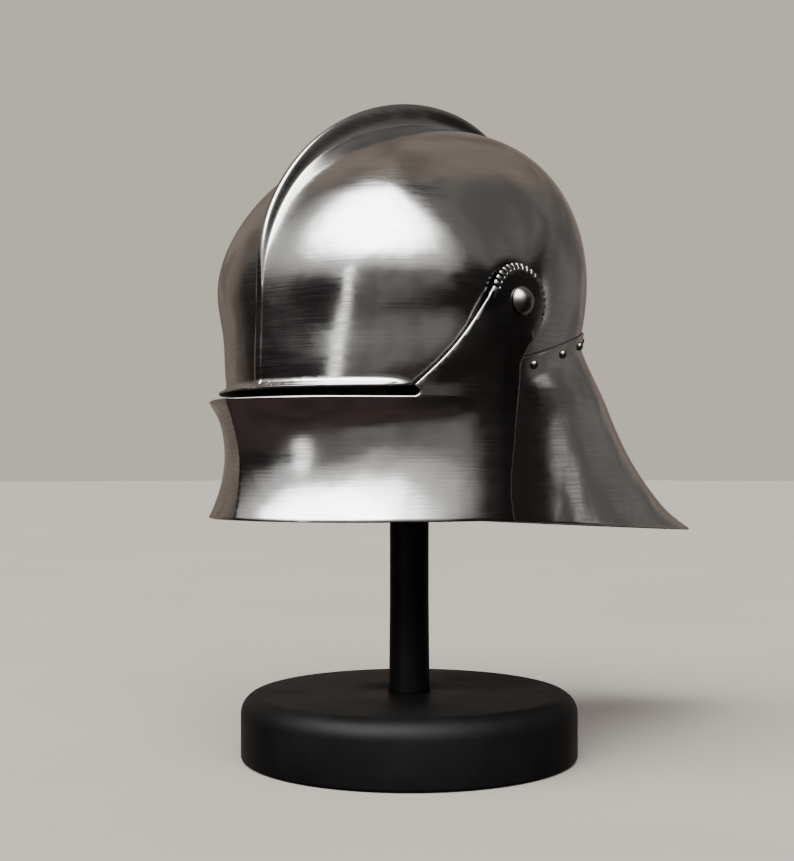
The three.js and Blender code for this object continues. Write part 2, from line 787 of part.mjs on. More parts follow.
const visor = new THREE.Group();
visor.position.set(0, -hingeForward, hingeHeight);
const visorMesh = piece('visor', visorSolid(), steel(0xb4b2ae));
visorMesh.geometry.translate(0, hingeForward, -hingeHeight);
visor.add(visorMesh);

const sallet = new THREE.Group();
sallet.add(stand, helmet, visor);

export default sallet;
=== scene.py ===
"""Dresses a visored sallet helmet on its turned stand: polished steel plates and black paint.

Every new surface is worked out with numpy as a function of two parameters. Lengths are in metres,
angles in degrees, +Z is up and the front of the helmet faces -Y.
"""

import bpy
import numpy as np
from bpy.props import FloatProperty, FloatVectorProperty, IntProperty, PointerProperty
from bpy.types import Operator, Panel, PropertyGroup
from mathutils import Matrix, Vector
from mathutils.geometry import delaunay_2d_cdt


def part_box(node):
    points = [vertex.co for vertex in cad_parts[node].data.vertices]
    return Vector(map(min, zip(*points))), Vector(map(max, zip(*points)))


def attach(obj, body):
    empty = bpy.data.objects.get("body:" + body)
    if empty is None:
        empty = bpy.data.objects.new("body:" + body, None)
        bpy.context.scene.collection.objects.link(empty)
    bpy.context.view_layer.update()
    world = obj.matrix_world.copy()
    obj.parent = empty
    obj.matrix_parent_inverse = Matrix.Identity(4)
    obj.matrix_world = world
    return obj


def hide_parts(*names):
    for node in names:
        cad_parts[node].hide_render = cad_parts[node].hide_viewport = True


bl_info = {
    "name": "Visored sallet",
    "version": (1, 0, 0),
    "blender": (4, 5, 0),
    "location": "View3D > Sidebar > Sallet",
    "description": "Builds a steel sallet with a lifting visor, on a turned stand",
    "category": "Object",
}

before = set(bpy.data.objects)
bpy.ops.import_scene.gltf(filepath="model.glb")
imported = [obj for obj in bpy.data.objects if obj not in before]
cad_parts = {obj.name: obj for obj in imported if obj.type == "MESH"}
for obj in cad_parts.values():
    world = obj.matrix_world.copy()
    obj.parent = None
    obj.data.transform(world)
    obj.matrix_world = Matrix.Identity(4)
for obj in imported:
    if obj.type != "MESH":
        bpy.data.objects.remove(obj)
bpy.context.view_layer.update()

MM = 0.001
SIDES = {"left": 1, "right": -1}

# Side profile of the bowl: reach from its axis at each angle above the front, in shares of the nape's
BOWL_PROFILE = {
    "angle": (-90, -60, -30, -10, 10, 30, 50, 75, 100, 125, 150, 180, 210, 240),
    "reach": (0.963, 0.995, 0.918, 0.822, 0.807, 0.809, 0.823, 0.848, 0.944, 1.078, 1.099, 1, 0.9185,
              0.904),
    "squareness": (1.95, 1.95, 1.95, 2.02, 2.35, 2.41, 2.21, 1.97, 1.94, 2.12, 2.17, 2.13, 2.07, 2),
}

# Height of the comb along the same angles, in shares of the comb's height
COMB_PROFILE = {
    "angle": (-40, -8, 5, 14, 28, 47, 69, 90, 112, 138, 160, 176),
    "height": (0.03, 0.02, 0.04, 0.18, 0.42, 0.58, 0.85, 1, 0.91, 0.57, 0.22, 0),
}

# Visor sections: rise in shares of the way from rim to slit, reaches in shares of the keel's
VISOR_SECTIONS = {
    "rise": (-0.07, 0.1, 0.29, 0.52, 0.74, 0.88, 1, 1.45, 2.3),
    "half": (1.025, 1.017, 1.009, 1.003, 1, 1, 1.001, 1.01, 1.02),
    "face": (0.953, 0.865, 0.8, 0.764, 0.76, 0.79, 0.857, 0.87, 0.87),
    "keel": (0.969, 0.948, 0.936, 0.934, 0.957, 0.979, 1, 1, 1),
}

# Tail sections: drop in shares of the way from the seam band to the rim
TAIL_SECTIONS = {
    "drop": (0, 0.17, 0.35, 0.5, 0.68, 0.82, 0.92, 1),
    "half": (0.938, 0.947, 0.956, 0.964, 0.978, 0.989, 0.996, 1),
    "reach": (0.412, 0.491, 0.552, 0.614, 0.706, 0.807, 0.899, 1),
    "squareness": (2.13, 2.15, 2.15, 2.1, 2.05, 1.98, 1.93, 1.9),
}

# Slopes to the back: the fall of the lower edge, and the rise of the seam and of the bowl's rear edge
RIM_FALL = 0.05
SEAM_RISE = 0.26

# Rear edge of the visor: rise in shares of the hinge's height over the rim, back in lobe radii
VISOR_REAR_EDGE = {
    "rise": (0.1, 0.2, 0.33, 0.5, 0.66, 0.745, 0.805),
    "back": (-0.2, -0.17, -0.06, 0.04, 0.11, 0.18, 0.42),
}


def length(name, default, description):
    """A size in metres that shows in the panel in the scene's units."""
    return FloatProperty(name=name, default=default, description=description, subtype="DISTANCE",
                         unit="LENGTH")


def colour(name, default, description):
    """A colour that shows in the panel as a swatch."""
    return FloatVectorProperty(name=name, default=default, description=description, subtype="COLOR",
                               min=0, max=1)


class SalletSizes(PropertyGroup):
    """Sizes of the helmet, its fittings and its stand."""

    plate: length("Plate", 1.6 * MM, "Thickness of the steel plates")
    gap: length("Gap", 0.3 * MM, "Gap between plates that lie on each other")
    edge_swell: length("Edge swell", 0.3 * MM, "How far a plate's filed edge stands out in its middle")
    bowl_half_width: length("Bowl half width", 111.8 * MM, "From the middle plane to the bowl's side")
    nape_reach: length("Nape reach", 135 * MM, "From the bowl's side axis to the nape")
    bowl_axis_height: length("Bowl axis height", 289 * MM, "Height of the bowl's side axis")
    bowl_axis_forward: length("Bowl axis forward", 14.5 * MM, "The side axis, ahead of the stand's middle")
    comb_height: length("Comb height", 18.6 * MM, "Height of the comb over the crown")
    comb_half_thickness: length("Comb half thickness", 2.9 * MM, "Half the width of the comb's crest")
    comb_foot_width: length("Comb foot width", 7 * MM, "Width over which the comb's foot runs out")
    brow_height: length("Brow height", 238 * MM, "Height of the brow's lower edge")
    brow_flare: length("Brow flare", 5.5 * MM, "How far the brow's edge is rolled out")
    brow_roll_height: length("Brow roll height", 6 * MM, "Height over which the brow is rolled out")
    hinge_height: length("Hinge height", 288.5 * MM, "Height of the visor's pivots")
    hinge_forward: length("Hinge forward", 17.5 * MM, "The pivots, ahead of the stand's middle")
    lobe_radius: length("Lobe radius", 23 * MM, "Radius of the visor's round ends")
    lobe_bevel: length("Lobe bevel", 1.1 * MM, "How far the lobe's notched edge is turned in")
    notch_depth: length("Notch depth", 4 * MM, "Depth of the notches round the lobe")
    notch_width: length("Notch width", 1.7 * MM, "Width of the notches round the lobe")
    rim_height: length("Rim height", 159 * MM, "Height of the helmet's lower edge in front")
    rim_flat_back: length("Rim flat back", -40 * MM, "Where the lower edge starts to fall")
    visor_half_width: length("Visor half width", 113 * MM, "From the middle plane to the visor's side")
    keel_reach: length("Keel reach", 147.5 * MM, "From the stand's middle to the keel at the slit")
    visor_stand_off: length("Visor stand-off", 3.4 * MM, "Room between the bowl and the visor")
    slit_height: length("Slit height", 7.5 * MM, "Height of the sight slit")
    slit_end_back: length("Slit end", -80.6 * MM, "Where the slit's round end starts")
    tail_half_width: length("Tail half width", 112.5 * MM, "From the middle plane to the tail's side")
    tail_reach: length("Tail reach", 276.8 * MM, "From the stand's middle to the tail's end")
    tail_front_reach: length("Tail front reach", 104 * MM, "Reach of the tail's hidden front part")
    tail_front_back: length("Tail front", -43 * MM, "Where the tail's hidden front edge lies")
    tail_seam_height: length("Tail seam height", 257.6 * MM, "Height of the tail's upper edge at the side")
    tail_seam_band: length("Tail seam band", 9 * MM, "Height of the band that lies on the bowl")
    pivot_radius: length("Pivot radius", 8.7 * MM, "Radius of the domed pivot heads")
    pivot_height: length("Pivot height", 6 * MM, "Height of the domed pivot heads")
    rivet_radius: length("Rivet radius", 2.9 * MM, "Radius of the tail's rivet heads")
    rivet_height: length("Rivet height", 2.3 * MM, "Height of the tail's rivet heads")
    rivet_drop: length("Rivet drop", 6 * MM, "From the tail's upper edge down to its rivets")
    base_radius: length("Base radius", 111 * MM, "Radius of the stand's base")
    base_height: length("Base height", 42.5 * MM, "Height of the stand's base")
    base_edge_radius: length("Base edge radius", 13 * MM, "Rounding of the base's upper edge")
    post_radius: length("Post radius", 13.4 * MM, "Radius of the stand's post")
    notch_count: IntProperty(name="Notches", default=18, min=1, description="Notches round each lobe")


class SalletColours(PropertyGroup):
    """Colours of the finishes and of the stage."""

    steel: colour("Steel", (0.60, 0.59, 0.575), "Polished plate")
    steel_dull: colour("Dull steel", (0.34, 0.325, 0.31), "Plate where the polish has dulled")
    steel_inside: colour("Inside", (0.12, 0.115, 0.11), "Blackened inner faces")
    paint: colour("Paint", (0.002, 0.002, 0.002), "Black paint of the stand")
    floor: colour("Floor", (0.23, 0.212, 0.185), "Plain floor")
    backdrop: colour("Backdrop", (0.60, 0.55, 0.47), "Plain backdrop")
    room: colour("Room", (0.022, 0.02, 0.019), "Dim room, as the steel mirrors it")
    rear: colour("Rear", (0.29, 0.24, 0.205), "Warm tone behind the helmet, as the steel mirrors it")
    side: colour("Side", (0.19, 0.18, 0.17), "Tone on the helmet's left, as the steel mirrors it")
    low_front: colour("Low front", (0.22, 0.21, 0.20), "Low light in front, as the steel mirrors it")
    below: colour("Below", (0.065, 0.046, 0.044), "Dark tone under the helmet, as the steel mirrors it")


def settings():
    """The sizes and the colours that the panel holds."""
    return bpy.context.scene.sallet_sizes, bpy.context.scene.sallet_colours


# Curves and solvers


def spline(knots, values, period=0.0):
    """A cubic through every knot with matching slope and bend where two spans meet.

    Without a period its ends have no bend; with one it closes on itself. The bends come from one
    linear system, and the result takes whole arrays.
    """
    x = np.array(knots, float)
    y = np.array(values, float)
    n = len(x)
    width = np.append(np.diff(x), x[0] + period - x[-1] if period else 1.0)
    slope = (np.roll(y, -1) - y) / width
    rows = np.arange(n)
    before = (rows - 1) % n
    system = np.zeros((n, n))
    system[rows, before] += width[before]
    system[rows, rows] += 2 * (width[before] + width)
    system[rows, (rows + 1) % n] += width
    right = 6 * (slope - slope[before])
    if not period:
        system[[0, -1]] = 0
        system[0, 0] = system[-1, -1] = 1
        right[[0, -1]] = 0
    bend = np.linalg.solve(system, right)
    last = n - 1 if period else n - 2

    def at(where):
        place = x[0] + (where - x[0]) % period if period else np.asarray(where, float)
        i = np.clip(np.searchsorted(x, place, side="right") - 1, 0, last)
        j = (i + 1) % n
        t = (place - x[i]) / width[i]
        s = 1 - t
        curve = ((s**3 - s) * bend[i] + (t**3 - t) * bend[j]) * width[i] ** 2 / 6
        return s * y[i] + t * y[j] + curve

    return at


def sections(rows, knots):
    """A spline through each row of numbers, over the row that holds the knots."""
    return {key: spline(rows[knots], values) for key, values in rows.items() if key != knots}


def farthest(inside, high, low=0.0, steps=44):
    """The largest number for which inside(number) holds, between low and high, by halving."""
    low = np.zeros_like(high) + low
    high = high + np.zeros_like(low)
    for _ in range(steps):
        middle = (low + high) / 2
        held = inside(middle)
        low = np.where(held, middle, low)
        high = np.where(held, high, middle)
    return low


def smooth(share):
    """Runs from 0 to 1 with flat ends."""
    t = np.clip(share, 0, 1)
    return t * t * (3 - 2 * t)


def unit(vectors):
    """The vectors at length 1."""
    return vectors / np.maximum(np.linalg.norm(vectors, axis=-1, keepdims=True), 1e-12)


def encloses(loop, points):
    """Which points lie inside a closed line: a ray from each crosses it an odd number of times."""
    start, end = loop, np.roll(loop, -1, axis=0)
    x, y = points[:, :1], points[:, 1:]
    rising = (start[:, 1] > y) != (end[:, 1] > y)
    height = np.where(end[:, 1] == start[:, 1], 1, end[:, 1] - start[:, 1])
    crossing = start[:, 0] + (y - start[:, 1]) / height * (end[:, 0] - start[:, 0])
    return np.sum(rising & (x < crossing), axis=1) % 2 == 1


def resampled(points, step):
    """The points of a broken line, a step apart along it, with both of its ends."""
    runs = np.append(0, np.cumsum(np.linalg.norm(np.diff(points, axis=0), axis=1)))
    marks = np.linspace(0, runs[-1], max(2, int(np.ceil(runs[-1] / step)) + 1))
    return np.stack([np.interp(marks, runs, axis) for axis in points.T], 1)


def filled(loop, step, lines=()):
    """A Delaunay mesh of the inside of a closed line: its points, further lines and a staggered grid.

    Grid points that are too close to a line's point go, and only the nine grid places round each of
    those points have to be tried for it.
    """
    fixed = np.concatenate([loop, *lines])
    low, high = loop.min(axis=0), loop.max(axis=0)
    rise = 0.866 * step
    too_close = 0.6 * step
    rows = np.arange(low[1], high[1], rise)
    columns = np.arange(low[0], high[0], step)
    shift = step / 2 * (np.arange(len(rows)) % 2)
    grid = np.stack(np.broadcast_arrays(columns + shift[:, None], rows[:, None]), -1)
    around = np.array((-1, 0, 1))
    row = np.clip(np.rint((fixed[:, 1:] - low[1]) / rise).astype(int) + around, 0, len(rows) - 1)
    column = np.rint((fixed[:, :1] - low[0] - shift[row]) / step).astype(int)[:, :, None] + around
    column = np.clip(column, 0, len(columns) - 1)
    row = np.broadcast_to(row[:, :, None], column.shape)
    near = np.linalg.norm(grid[row, column] - fixed[:, None, None], axis=-1) < too_close
    free = np.ones(grid.shape[:2], bool)
    free[row[near], column[near]] = False
    inner = grid[free]
    points = np.concatenate((fixed, inner[encloses(loop, inner)]))
    numbers = np.arange(len(loop))
    ring = np.stack((numbers, np.roll(numbers, -1)), 1)
    found, _, triangles, *_ = delaunay_2d_cdt(points.tolist(), ring.tolist(), [], 0, 1e-7, False)
    if len(found) != len(points):
        raise ValueError("a sheet's outline crosses itself")
    triangles = np.array(triangles)
    return points, triangles[encloses(loop, points[triangles].mean(axis=1))]


class Form:
    """The helmet's surfaces as functions of whole arrays."""

    def __init__(self, size):
        self.size = size
        angle = BOWL_PROFILE["angle"]
        self.reach_at = spline(angle, BOWL_PROFILE["reach"], period=360)
        self.square_at = spline(angle, BOWL_PROFILE["squareness"], period=360)
        self.comb_at = spline(COMB_PROFILE["angle"], COMB_PROFILE["height"])
        self.visor_at = sections(VISOR_SECTIONS, "rise")
        self.tail_at = sections(TAIL_SECTIONS, "drop")
        self.slit_bottom = size.brow_height - size.slit_height
        self.lap = size.gap + size.plate

    def comb_rise(self, angle, x):
        """Comb height: a crest with steep sides, on a foot that runs out to both sides."""
        s = self.size
        side_run, foot_share, crown = 0.26 * MM, 0.27, 0.035
        turned = np.where(angle > 270, angle - 360, angle)
        first, last = COMB_PROFILE["angle"][0], COMB_PROFILE["angle"][-1]
        share = np.maximum(0, self.comb_at(np.clip(turned, first, last)))
        share = np.where((turned < first) | (turned > last), 0, share)
        away = np.abs(x) - s.comb_half_thickness
        crest = 1 / (1 + np.exp(np.clip(away / side_run, -60, 60)))
        foot = foot_share * np.exp(-np.maximum(away, 0) / s.comb_foot_width)
        dome = 1 - crown * (x / s.comb_half_thickness) ** 2
        return s.comb_height * share * (crest * dome + (1 - crest) * foot)

    def bowl_point(self, angle, x):
        """A bowl point: a superellipse across, whose reach from the side axis turns with the angle."""
        s = self.size
        square = self.square_at(angle)
        share = np.minimum(1, np.abs(x) / s.bowl_half_width)
        reach = s.nape_reach * self.reach_at(angle) * (1 - share**square) ** (1 / square)
        reach = reach + self.comb_rise(angle, x)
        a = np.radians(angle)
        y = -s.bowl_axis_forward - reach * np.cos(a)
        z = s.bowl_axis_height + reach * np.sin(a)
        return np.stack(np.broadcast_arrays(x, y, z), -1)

    def bowl_level(self, x, y, z):
        """Over 1 outside the bowl without its comb, under 1 inside it."""
        s = self.size
        dy = y + s.bowl_axis_forward
        dz = z - s.bowl_axis_height
        angle = np.degrees(np.arctan2(dz, -dy))
        square = self.square_at(angle)
        reach = s.nape_reach * self.reach_at(angle)
        return (np.abs(x) / s.bowl_half_width) ** square + (np.hypot(dy, dz) / reach) ** square

    def bowl_reach(self, turn, z):
        """Reach of the bowl from the vertical axis; below the brow it stays as at the brow."""
        s = self.size
        held = np.maximum(z, s.brow_height)
        inside = lambda r: self.bowl_level(r * np.sin(turn), -r * np.cos(turn), held) < 1
        return farthest(inside, 2 * s.nape_reach + 0 * turn * held)

    def plan_reach(self, turn, half, reach, square):
        """Polar reach of a superellipse with that half width and length."""
        side = np.abs(np.sin(turn)) / half
        end = np.abs(np.cos(turn)) / reach
        return (side**square + end**square) ** (-1 / square)

    def rim_at(self, y):
        """Height of the lower edge: level in front, then falling slightly to the back."""
        return self.size.rim_height - RIM_FALL * np.maximum(0, y - self.size.rim_flat_back)

    def visor_reach(self, turn, z):
        """Visor reach: a rounded plan with a keel that fades to the sides, kept clear of the bowl.

        The keel fades as (1 - turn / spread)^power. Of the visor's own reach and the clear one the
        larger counts, with a rounded change from one to the other.
        """
        s = self.size
        spread, power = np.radians(60), 1.6
        clear_run, free_depth, rounding = 30 * MM, 20 * MM, 2 * MM * MM
        rise = (z - s.rim_height) / (self.slit_bottom - s.rim_height)
        face = s.keel_reach * self.visor_at["face"](rise)
        keel = s.keel_reach * self.visor_at["keel"](rise)
        plan = self.plan_reach(turn, s.visor_half_width * self.visor_at["half"](rise), face, 2)
        own = plan + (keel - face) * np.maximum(0, 1 - np.abs(turn) / spread) ** power
        kept = self.bowl_reach(turn, z) + s.visor_stand_off + s.plate
        fade = np.clip((z - self.slit_bottom) / clear_run + 1, 0, 1)
        near = kept - (1 - fade) * free_depth
        return (own + near + np.sqrt((own - near) ** 2 + rounding)) / 2

    def seam_at(self, turn):
        """Height of the tail's upper edge, which rises to the back."""
        s = self.size
        bowl = self.bowl_reach(turn, s.tail_seam_height + 12 * MM)
        return s.tail_seam_height - SEAM_RISE * np.cos(turn) * bowl

    def tail_plan(self, turn, drop):
        """Reach of the tail's flare: a superellipse to the back, an ellipse in front of the side."""
        s = self.size
        half = s.tail_half_width * self.tail_at["half"](drop)
        back = self.plan_reach(turn, half, s.tail_reach * self.tail_at["reach"](drop),
                               self.tail_at["squareness"](drop))
        return np.where(np.cos(turn) > 0, self.plan_reach(turn, half, s.tail_front_reach, 2), back)

    def tail_rim(self, turn):
        """Height of the tail's lower edge."""
        return self.rim_at(-np.cos(turn) * self.tail_plan(turn, 1.0))

    def tail_reach(self, turn, z):
        """Tail reach: on the bowl along the seam band, then blended into the flare."""
        blend, last_drop = 0.35, 1.06
        start = self.seam_at(turn) - self.size.tail_seam_band
        drop = (start - z) / (start - self.tail_rim(turn))
        on_bowl = self.bowl_reach(turn, z) + self.lap
        fade = np.maximum(0, 1 - np.maximum(drop, 0) / blend) ** 2
        flare = self.tail_plan(turn, np.clip(drop, 0, last_drop))
        flare = flare + (on_bowl - self.tail_plan(turn, 0.0)) * fade
        return np.where(drop < 0, on_bowl, flare)

    def polar(self, reach, turn, z):
        """Points at a reach from the vertical axis, at a turn from the front and a height."""
        return np.stack(np.broadcast_arrays(reach * np.sin(turn), -reach * np.cos(turn), z), -1)


# Meshes


def grid_faces(columns, rows, closed=False):
    """Two triangles for each cell of a grid whose point (i, j) is number i * rows + j."""
    i = np.arange(columns if closed else columns - 1)[:, None]
    j = np.arange(rows - 1)[None, :]
    a = i * rows + j
    b = ((i + 1) % columns) * rows + j
    cells = np.stack((a, b, b + 1, a + 1), -1).reshape(-1, 4)
    return np.concatenate((cells[:, [0, 1, 2]], cells[:, [0, 2, 3]]))


def mirrored(points, faces):
    """The same sheet on the other side of the middle plane, still facing outwards."""
    return points * (-1, 1, 1), faces[:, ::-1]


def welded(sheets, tolerance=1e-7):
    """One sheet from several: points at one place become one, and empty triangles go."""
    starts = np.cumsum([0] + [len(p) for p, _ in sheets[:-1]])
    points = np.concatenate([p for p, _ in sheets])
    faces = np.concatenate([f + start for (_, f), start in zip(sheets, starts)])
    keys = np.round(points / tolerance).astype(np.int64)
    _, first, back = np.unique(keys, axis=0, return_index=True, return_inverse=True)
    faces = back.reshape(-1)[faces]
    a, b, c = faces.T
    return points[first], faces[(a != b) & (b != c) & (c != a)]


def point_normals(points, faces):
    """Normals at the points: the sum of the normals of their triangles, at length 1."""
    corner = points[faces]
    face = np.cross(corner[:, 1] - corner[:, 0], corner[:, 2] - corner[:, 0])
    total = np.zeros_like(points)
    np.add.at(total, faces.reshape(-1), np.repeat(face, 3, axis=0))
    return unit(total)


def plate_mesh(points, faces, thickness, swell, steps=5, dark_steps=2):
    """A closed plate from an open sheet.

    The inner face lies a thickness inside the outer one, along its normals. Along the sheet's edge a
    half ellipse joins them: its rings go in by thickness * (1 - cos a) / 2 and out by swell * sin a.
    Returns the points, the triangles and a mark for those that are dark: the inner face and the last
    steps of the edge.
    """
    normals = point_normals(points, faces)
    sides = np.concatenate((faces[:, [0, 1]], faces[:, [1, 2]], faces[:, [2, 0]]))
    keys = np.sort(sides, 1) @ np.array((len(points), 1))
    _, first, uses = np.unique(keys, return_index=True, return_counts=True)
    border = sides[first[uses == 1]]
    out = np.zeros_like(points)
    along = points[border[:, 1]] - points[border[:, 0]]
    np.add.at(out, border[:, 0], np.cross(along, normals[border[:, 0]]))
    np.add.at(out, border[:, 1], np.cross(along, normals[border[:, 1]]))
    edge = np.unique(border)
    turns = np.pi * np.arange(1, steps) / steps
    sink = (thickness * (1 - np.cos(turns)) / 2)[:, None, None] * normals[edge]
    lift = (swell * np.sin(turns))[:, None, None] * unit(out[edge])
    rings = (points[edge] - sink + lift).reshape(-1, 3)
    number = np.zeros(len(points), int)
    number[edge] = np.arange(len(edge))
    n = len(points)
    every = [border] + [2 * n + k * len(edge) + number[border] for k in range(steps - 1)] + [border + n]
    strips = []
    for upper, lower in zip(every[:-1], every[1:]):
        a, b = upper.T
        c, d = lower.T
        strips += [np.stack((b, a, c), 1), np.stack((b, c, d), 1)]
    inner = faces[:, ::-1] + n
    triangles = np.concatenate([faces, *strips, inner])
    dark = len(inner) + 2 * dark_steps * len(border)
    inside = np.arange(len(triangles)) >= len(triangles) - dark
    return np.concatenate((points, points - thickness * normals, rings)), triangles, inside


def turned_mesh(profile, segments, origin=(0, 0, 0), axis=(0, 0, 1)):
    """A turned body: the profile's (radius, height) rows, carried round the axis.

    Its first and last rows lie on the axis, so the weld closes both poles.
    """
    axis = unit(np.array(axis, float))
    across = unit(np.cross(axis, (0, 0, 1) if abs(axis[2]) < 0.9 else (1, 0, 0)))
    turn = np.linspace(0, 2 * np.pi, segments, endpoint=False)[:, None, None]
    ring = np.cos(turn) * across + np.sin(turn) * np.cross(axis, across)
    radius, height = np.array(profile, float).T[:, None, :, None]
    points = np.array(origin, float) + radius * ring + height * axis
    return welded([(points.reshape(-1, 3), grid_faces(segments, len(profile), closed=True))])


def arc(radius, centre, start, end, count):
    """Points on an arc, from one angle to another."""
    a = np.radians(np.linspace(start, end, count))
    return np.stack((centre[0] + radius * np.cos(a), centre[1] + radius * np.sin(a)), 1)


def make_piece(name, mesh_data, materials, body, slot, *nodes, painted_shade=None):
    """Puts a mesh into the scene as a smooth piece that rides on a body and stands for CAD nodes."""
    points, triangles = mesh_data[:2]
    mesh = bpy.data.meshes.new(name)
    mesh.from_pydata(points, [], triangles, shade_flat=False)
    for material in materials:
        mesh.materials.append(material)
    if len(mesh_data) > 2:
        mesh.polygons.foreach_set("material_index", mesh_data[2].astype(np.int32))
    # The point attribute holds painted shade: how far the steel is darkened round the lobes and along the
    # visor's rear edge
    if painted_shade is not None:
        mesh.attributes.new("painted_shade", "FLOAT", "POINT").data.foreach_set("value", painted_shade.astype(np.float32))
    mesh.validate()
    piece = bpy.data.objects.new(name, mesh)
    bpy.context.scene.collection.objects.link(piece)
    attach(piece, body)
    if nodes:
        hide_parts(*nodes)
    return piece


def make_plate(name, sheet, body, node, painted_shade=None):
    """Makes a sheet of the helmet a plate, polished outside and black inside."""
    size, _ = settings()
    mesh = plate_mesh(*sheet(Form(size)), size.plate, size.edge_swell)
    materials = material_for("polished steel"), material_for("blackened steel")
    # Painted shade for the plate's points: darker steel round the lobes and along the visor's rear edge
    spread = painted_shade and painted_shade(size, mesh[0])
    return make_piece(name, mesh, materials, body, "polished_steel", node, painted_shade=spread)


# Sheets of the three plates


def skull_sheet(form, step=2.15 * MM, edge_step=1.8 * MM):
    """The bowl: two side sheets and a strip along the comb, welded into one.

    The strip is bowl_point(angle, x) on rows of the angle. A side sheet is meshed on a flat disc round
    its pole: there a point at angle a and radius r * scale has the reach whole * sin r, and
    x = half width * (1 - sin(r)^n)^(1/n). The disc is cut by the strip's edge and by the lower edge.
    """
    s = form.size
    strip_half = 10 * MM
    scale = 0.12
    depth = s.bowl_axis_height - s.brow_height
    no_edge = 9.0

    def edge_reach(angle, up=0.0):
        a = np.radians(angle)
        down = -(np.sin(a) + np.where(np.cos(a) < 0, SEAM_RISE * np.cos(a), 0))
        return np.where(down > 1e-3, (depth - up) / np.maximum(down, 1e-3), no_edge)

    def strip_reach(angle):
        square = form.square_at(angle)
        share = (strip_half / s.bowl_half_width) ** square
        return s.nape_reach * form.reach_at(angle) * (1 - share) ** (1 / square)

    def disc(angle, reach):
        radius = scale * np.arcsin(np.minimum(1, reach / (s.nape_reach * form.reach_at(angle))))
        a = np.radians(angle)
        return np.stack((-radius * np.cos(a), radius * np.sin(a)), 1)

    above = lambda angle: edge_reach(angle) > strip_reach(angle)
    front = -farthest(lambda a: above(-a), np.array(60.0))
    back = farthest(above, np.array(240.0), low=120.0)
    upper = np.linspace(front, back, 250)
    lower = np.linspace(back, front + 360, 6000)
    edge = resampled(disc(lower, edge_reach(lower)), edge_step)
    loop = np.concatenate((disc(upper, strip_reach(upper)), edge[1:-1]))[::-1]
    brow = np.linspace(-75, front, 2000)
    rolled = []
    for up in np.array((1.2, 2.4, 3.6, 5, 6.6, 8.4, 10.4)) * MM:
        held = brow[edge_reach(brow, up) < strip_reach(brow) - MM]
        rolled.append(resampled(disc(held, edge_reach(held, up)), edge_step))
    flat, side_faces = filled(loop, step, rolled)

    angle = np.degrees(np.arctan2(flat[:, 1], -flat[:, 0]))
    square = form.square_at(angle)
    share = np.sin(np.hypot(*flat.T) / scale)
    x = s.bowl_half_width * (1 - share**square) ** (1 / square)
    side = form.bowl_point(angle, x)

    crest, flank, foot = np.linspace(0, 2.2, 5), np.linspace(2.4, 3.7, 7), np.linspace(4.1, 10, 7)
    half = np.concatenate((crest, flank, foot)) * MM
    half[-1] = strip_half
    across = np.concatenate((-half[:0:-1], half))
    strip = form.bowl_point(upper[None, :], across[:, None])
    strip_faces = grid_faces(len(across), len(upper))

    left = (side, side_faces)
    points, faces = welded([left, mirrored(*left), (strip.reshape(-1, 3), strip_faces)])
    return brow_rolled(form, points), faces


def brow_rolled(form, points):
    """Rolls the brow out: by the flare times a power of the way down, fading to the sides."""
    s = form.size
    power, side_turn, fade_turn = 3.4, 50, 12
    x, y, z = points.T
    turn = np.degrees(np.arctan2(np.abs(x), -y))
    share = np.clip((s.brow_height + s.brow_roll_height - z) / s.brow_roll_height, 0, 1)
    out = s.brow_flare * share**power * smooth((side_turn - turn) / fade_turn)
    flat = unit(points * (1, 1, 0))
    return points + flat * out[:, None]


def lobe_line(size):
    """The lobe's edge in side view: an arc round the hinge with square-cut radial notches."""
    first, notched, last = -45, -25, 165
    radius, inner = size.lobe_radius, size.lobe_radius - size.notch_depth
    pitch = (last - notched) / size.notch_count
    middles = notched + (np.arange(size.notch_count) + 0.5) * pitch
    mouth = np.degrees(size.notch_width / 2 / radius)
    floor = np.degrees(size.notch_width / 2 / inner)
    turn = np.stack((middles - mouth, middles - floor, middles + floor, middles + mouth), 1).reshape(-1)
    reach = np.tile((radius, inner, inner, radius), size.notch_count)
    turn = np.radians(np.concatenate(((first, notched), turn, (last,))))
    reach = np.concatenate(((radius, radius), reach, (radius,)))
    y = -size.hinge_forward + reach * np.cos(turn)
    return np.stack((y, size.hinge_height + reach * np.sin(turn)), 1)


def visor_line(form):
    """The visor's edge in side view, from the rim's rear foot over the lobe to the slit's end."""
    s = form.size
    rise = s.hinge_height - s.rim_height
    foot_y = -s.hinge_forward - 0.15 * s.lobe_radius
    lobe = lobe_line(s)
    rear = np.stack((-s.hinge_forward + s.lobe_radius * np.array(VISOR_REAR_EDGE["back"]),
                     s.rim_height + rise * np.array(VISOR_REAR_EDGE["rise"])), 1)
    knots = np.concatenate(([[foot_y, form.rim_at(foot_y)]], rear, lobe[:1]))
    heights = np.linspace(knots[0, 1], knots[-1, 1], 120)
    edge = np.stack((spline(knots[:, 1], knots[:, 0])(heights), heights), 1)
    lip, pull = 1 * MM, (0.55, 0.42)
    end_radius = (s.slit_height - lip) / 2
    end = np.array((s.slit_end_back, form.slit_bottom + end_radius))
    start, stop = lobe[-1], end + (0, end_radius)
    control = stop + pull * (start - stop)
    t = np.linspace(0, 1, 70)[:, None]
    sweep = (1 - t) ** 2 * start + 2 * t * (1 - t) * control + t**2 * stop
    return [edge, lobe, sweep, arc(end_radius, end, 90, -90, 12)]


